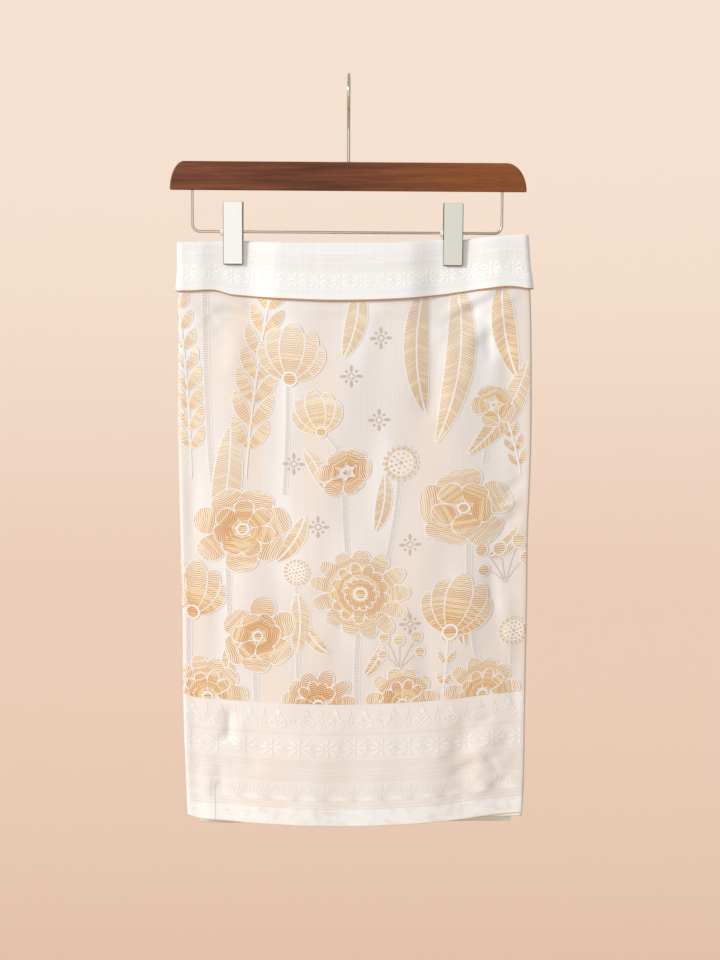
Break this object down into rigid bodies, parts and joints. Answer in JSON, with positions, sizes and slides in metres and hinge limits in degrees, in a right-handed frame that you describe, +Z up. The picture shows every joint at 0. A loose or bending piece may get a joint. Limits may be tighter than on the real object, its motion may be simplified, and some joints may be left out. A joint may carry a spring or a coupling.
{
  "type": "sampin on a clip hanger",
  "caption": "Wrapped sampin of pale brocade with a turned-down top, clipped flat to a wooden trouser hanger with a turned wire hook.",
  "frame": {"origin": "inside crown of the hook, where a rail bears", "axes": "+X to the garment's left as worn, along the hanger bar; +Z up; the front faces -Y"},
  "size_m": [0.3898, 0.0433, 0.8272],
  "materials": {
    "brocade": "satin jacquard with gold weft flowers",
    "brocade_border": "satin jacquard, tonal border pattern",
    "walnut": "oiled dark walnut",
    "clip_plate": "satin nickel plate",
    "bright_wire": "bright drawn wire",
    "grip_pad": "soft white plastic"
  },
  "bodies": {
    "root": {"front_panel": "brocade", "front_edge_hem": "brocade", "under_panel": "brocade", "back_panel": "brocade", "front_cuff": "brocade_border", "back_cuff": "brocade_border", "front_hem": "brocade_border", "under_hem": "brocade_border", "back_hem": "brocade_border", "hanger_bar": "walnut", "hanger_hook": "bright_wire", "clip_rail": "bright_wire", "left_clip_front_plate": "clip_plate", "left_clip_back_plate": "clip_plate", "left_clip_front_pad": "grip_pad", "left_clip_back_pad": "grip_pad", "left_clip_spring": "bright_wire", "left_clip_collar": "grip_pad", "right_clip_front_plate": "clip_plate", "right_clip_back_plate": "clip_plate", "right_clip_front_pad": "grip_pad", "right_clip_back_pad": "grip_pad", "right_clip_spring": "bright_wire", "right_clip_collar": "grip_pad"}
  },
  "joints": []
}
